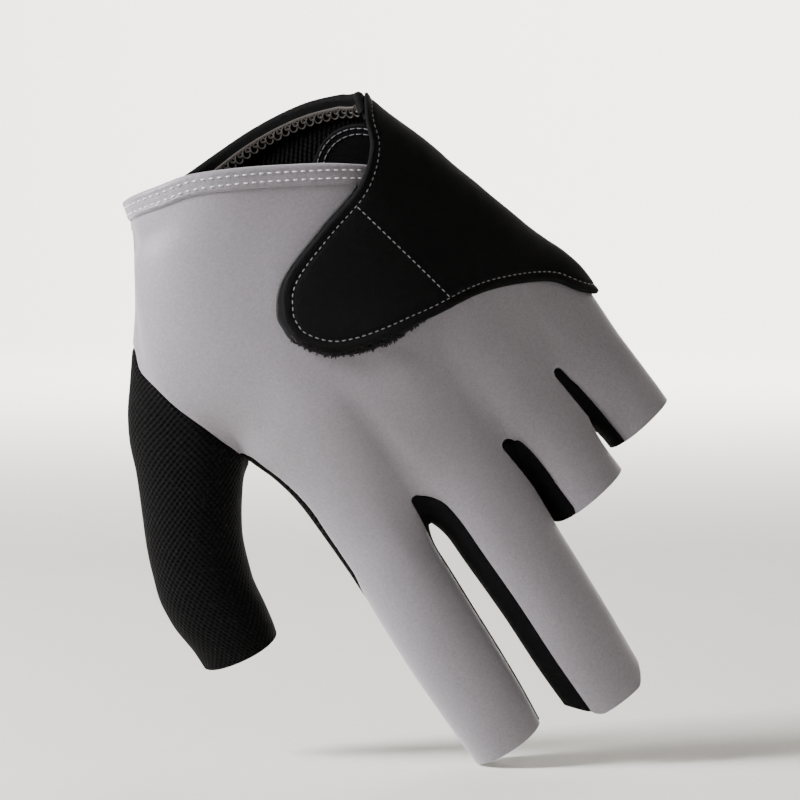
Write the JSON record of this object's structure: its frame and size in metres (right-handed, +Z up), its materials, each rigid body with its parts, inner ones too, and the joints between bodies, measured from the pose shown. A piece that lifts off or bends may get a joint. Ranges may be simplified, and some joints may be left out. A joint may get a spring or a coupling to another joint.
{
  "type": "billiard glove",
  "caption": "Left-hand billiard glove with open-ended long thumb, index and middle sleeves, short outer finger sleeves and a wide wrist strap closed on the back of the hand.",
  "frame": {"origin": "middle of the wrist opening", "axes": "+Z up with the fingers pointing down and to the little finger's side, +X to the little finger's side of the leaning hand, -Y out of the back of the hand"},
  "size_m": [0.1431, 0.0515, 0.1763],
  "materials": {
    "grey_stretch": "smooth knitted stretch cloth with a soft sheen",
    "grey_hem": "stretch cloth folded into a stitched hem",
    "black_mesh": "matt knitted mesh",
    "black_stretch": "matt stretch cloth",
    "black_binding": "matt folded stretch cloth",
    "black_suede": "short matt nap over thin foam",
    "hook_nylon": "nylon hook tape"
  },
  "bodies": {
    "root": {"back_panel": "grey_stretch", "cuff_hem": "grey_hem", "palm_panel": "black_mesh", "palm_rim_fold": "black_binding", "heel_patch": "black_binding", "thumb_sleeve": "black_mesh", "fourchette_index_middle": "black_stretch", "fourchette_middle_ring": "black_stretch", "fourchette_ring_little": "black_stretch", "wrist_strap": "black_suede", "hook_pad": "hook_nylon"}
  },
  "joints": []
}
